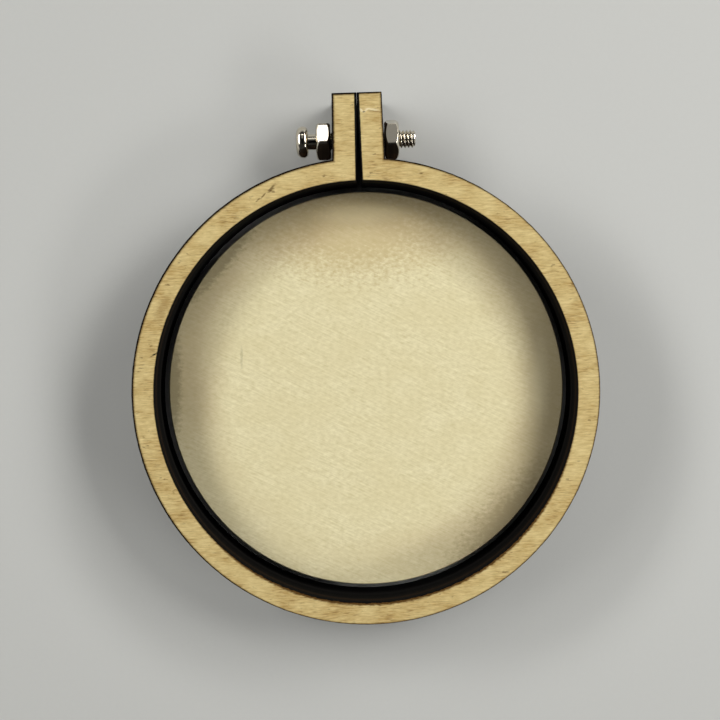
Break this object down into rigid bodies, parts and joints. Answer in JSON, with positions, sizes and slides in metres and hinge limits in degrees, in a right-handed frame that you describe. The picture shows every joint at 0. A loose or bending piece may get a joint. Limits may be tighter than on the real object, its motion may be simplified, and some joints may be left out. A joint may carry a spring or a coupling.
{
  "type": "embroidery hoop",
  "caption": "Miniature laser-cut wooden embroidery hoop: a ring with two ears drawn together by a machine screw, holding a loose inner plate and a back plate.",
  "frame": {"origin": "the ring's centre, on the surface that the hoop's back rests on", "axes": "+Y from the ring towards its ears, +Z out of the hoop's face, +X along the screw from its head to its tip"},
  "size_m": [0.0522, 0.0593, 0.006],
  "materials": {
    "birch_ring": "bare birch plywood, laser-cut, with charred edges",
    "birch_plate": "bare sanded birch plywood",
    "plated_steel": "bright nickel-plated steel"
  },
  "bodies": {
    "ring": {"hoop_left": "birch_ring"},
    "ring_right": {"hoop_right": "birch_ring"},
    "screw": {"screw": "plated_steel", "stop_nut": "plated_steel"},
    "clamp_nut": {"clamp_nut": "plated_steel"},
    "inner_plate": {"inner_plate": "birch_plate"},
    "back_plate": {"back_plate": "birch_plate"}
  },
  "joints": [
    {"name": "screw_turn", "type": "hinge", "parent": "ring", "child": "screw", "pos_m": [0, 0.02841, 0.003], "axis": [-1, 0, 0], "range_deg": [0, 1620.16]},
    {"name": "clamp_nut_travel", "type": "slide", "parent": "ring", "child": "clamp_nut", "axis": [1, 0, 0], "range_m": [0, 0.0018]},
    {"name": "hoop_opening", "type": "hinge", "parent": "ring", "child": "ring_right", "pos_m": [0, -0.0261, 0.003], "axis": [0, 0, -1], "range_deg": [0, 1.89]},
    {"name": "inner_plate_lift", "type": "slide", "parent": "ring", "child": "inner_plate", "axis": [0, 0, 1], "range_m": [0, 0.012]},
    {"name": "back_plate_drop", "type": "slide", "parent": "ring", "child": "back_plate", "axis": [0, 0, -1], "range_m": [0, 0.01]}
  ],
  "couplings": [
    {"joint": "screw_turn", "follows": "clamp_nut_travel", "rad_per_m": 15708},
    {"joint": "hoop_opening", "follows": "clamp_nut_travel", "rad_per_m": 18.346}
  ]
}
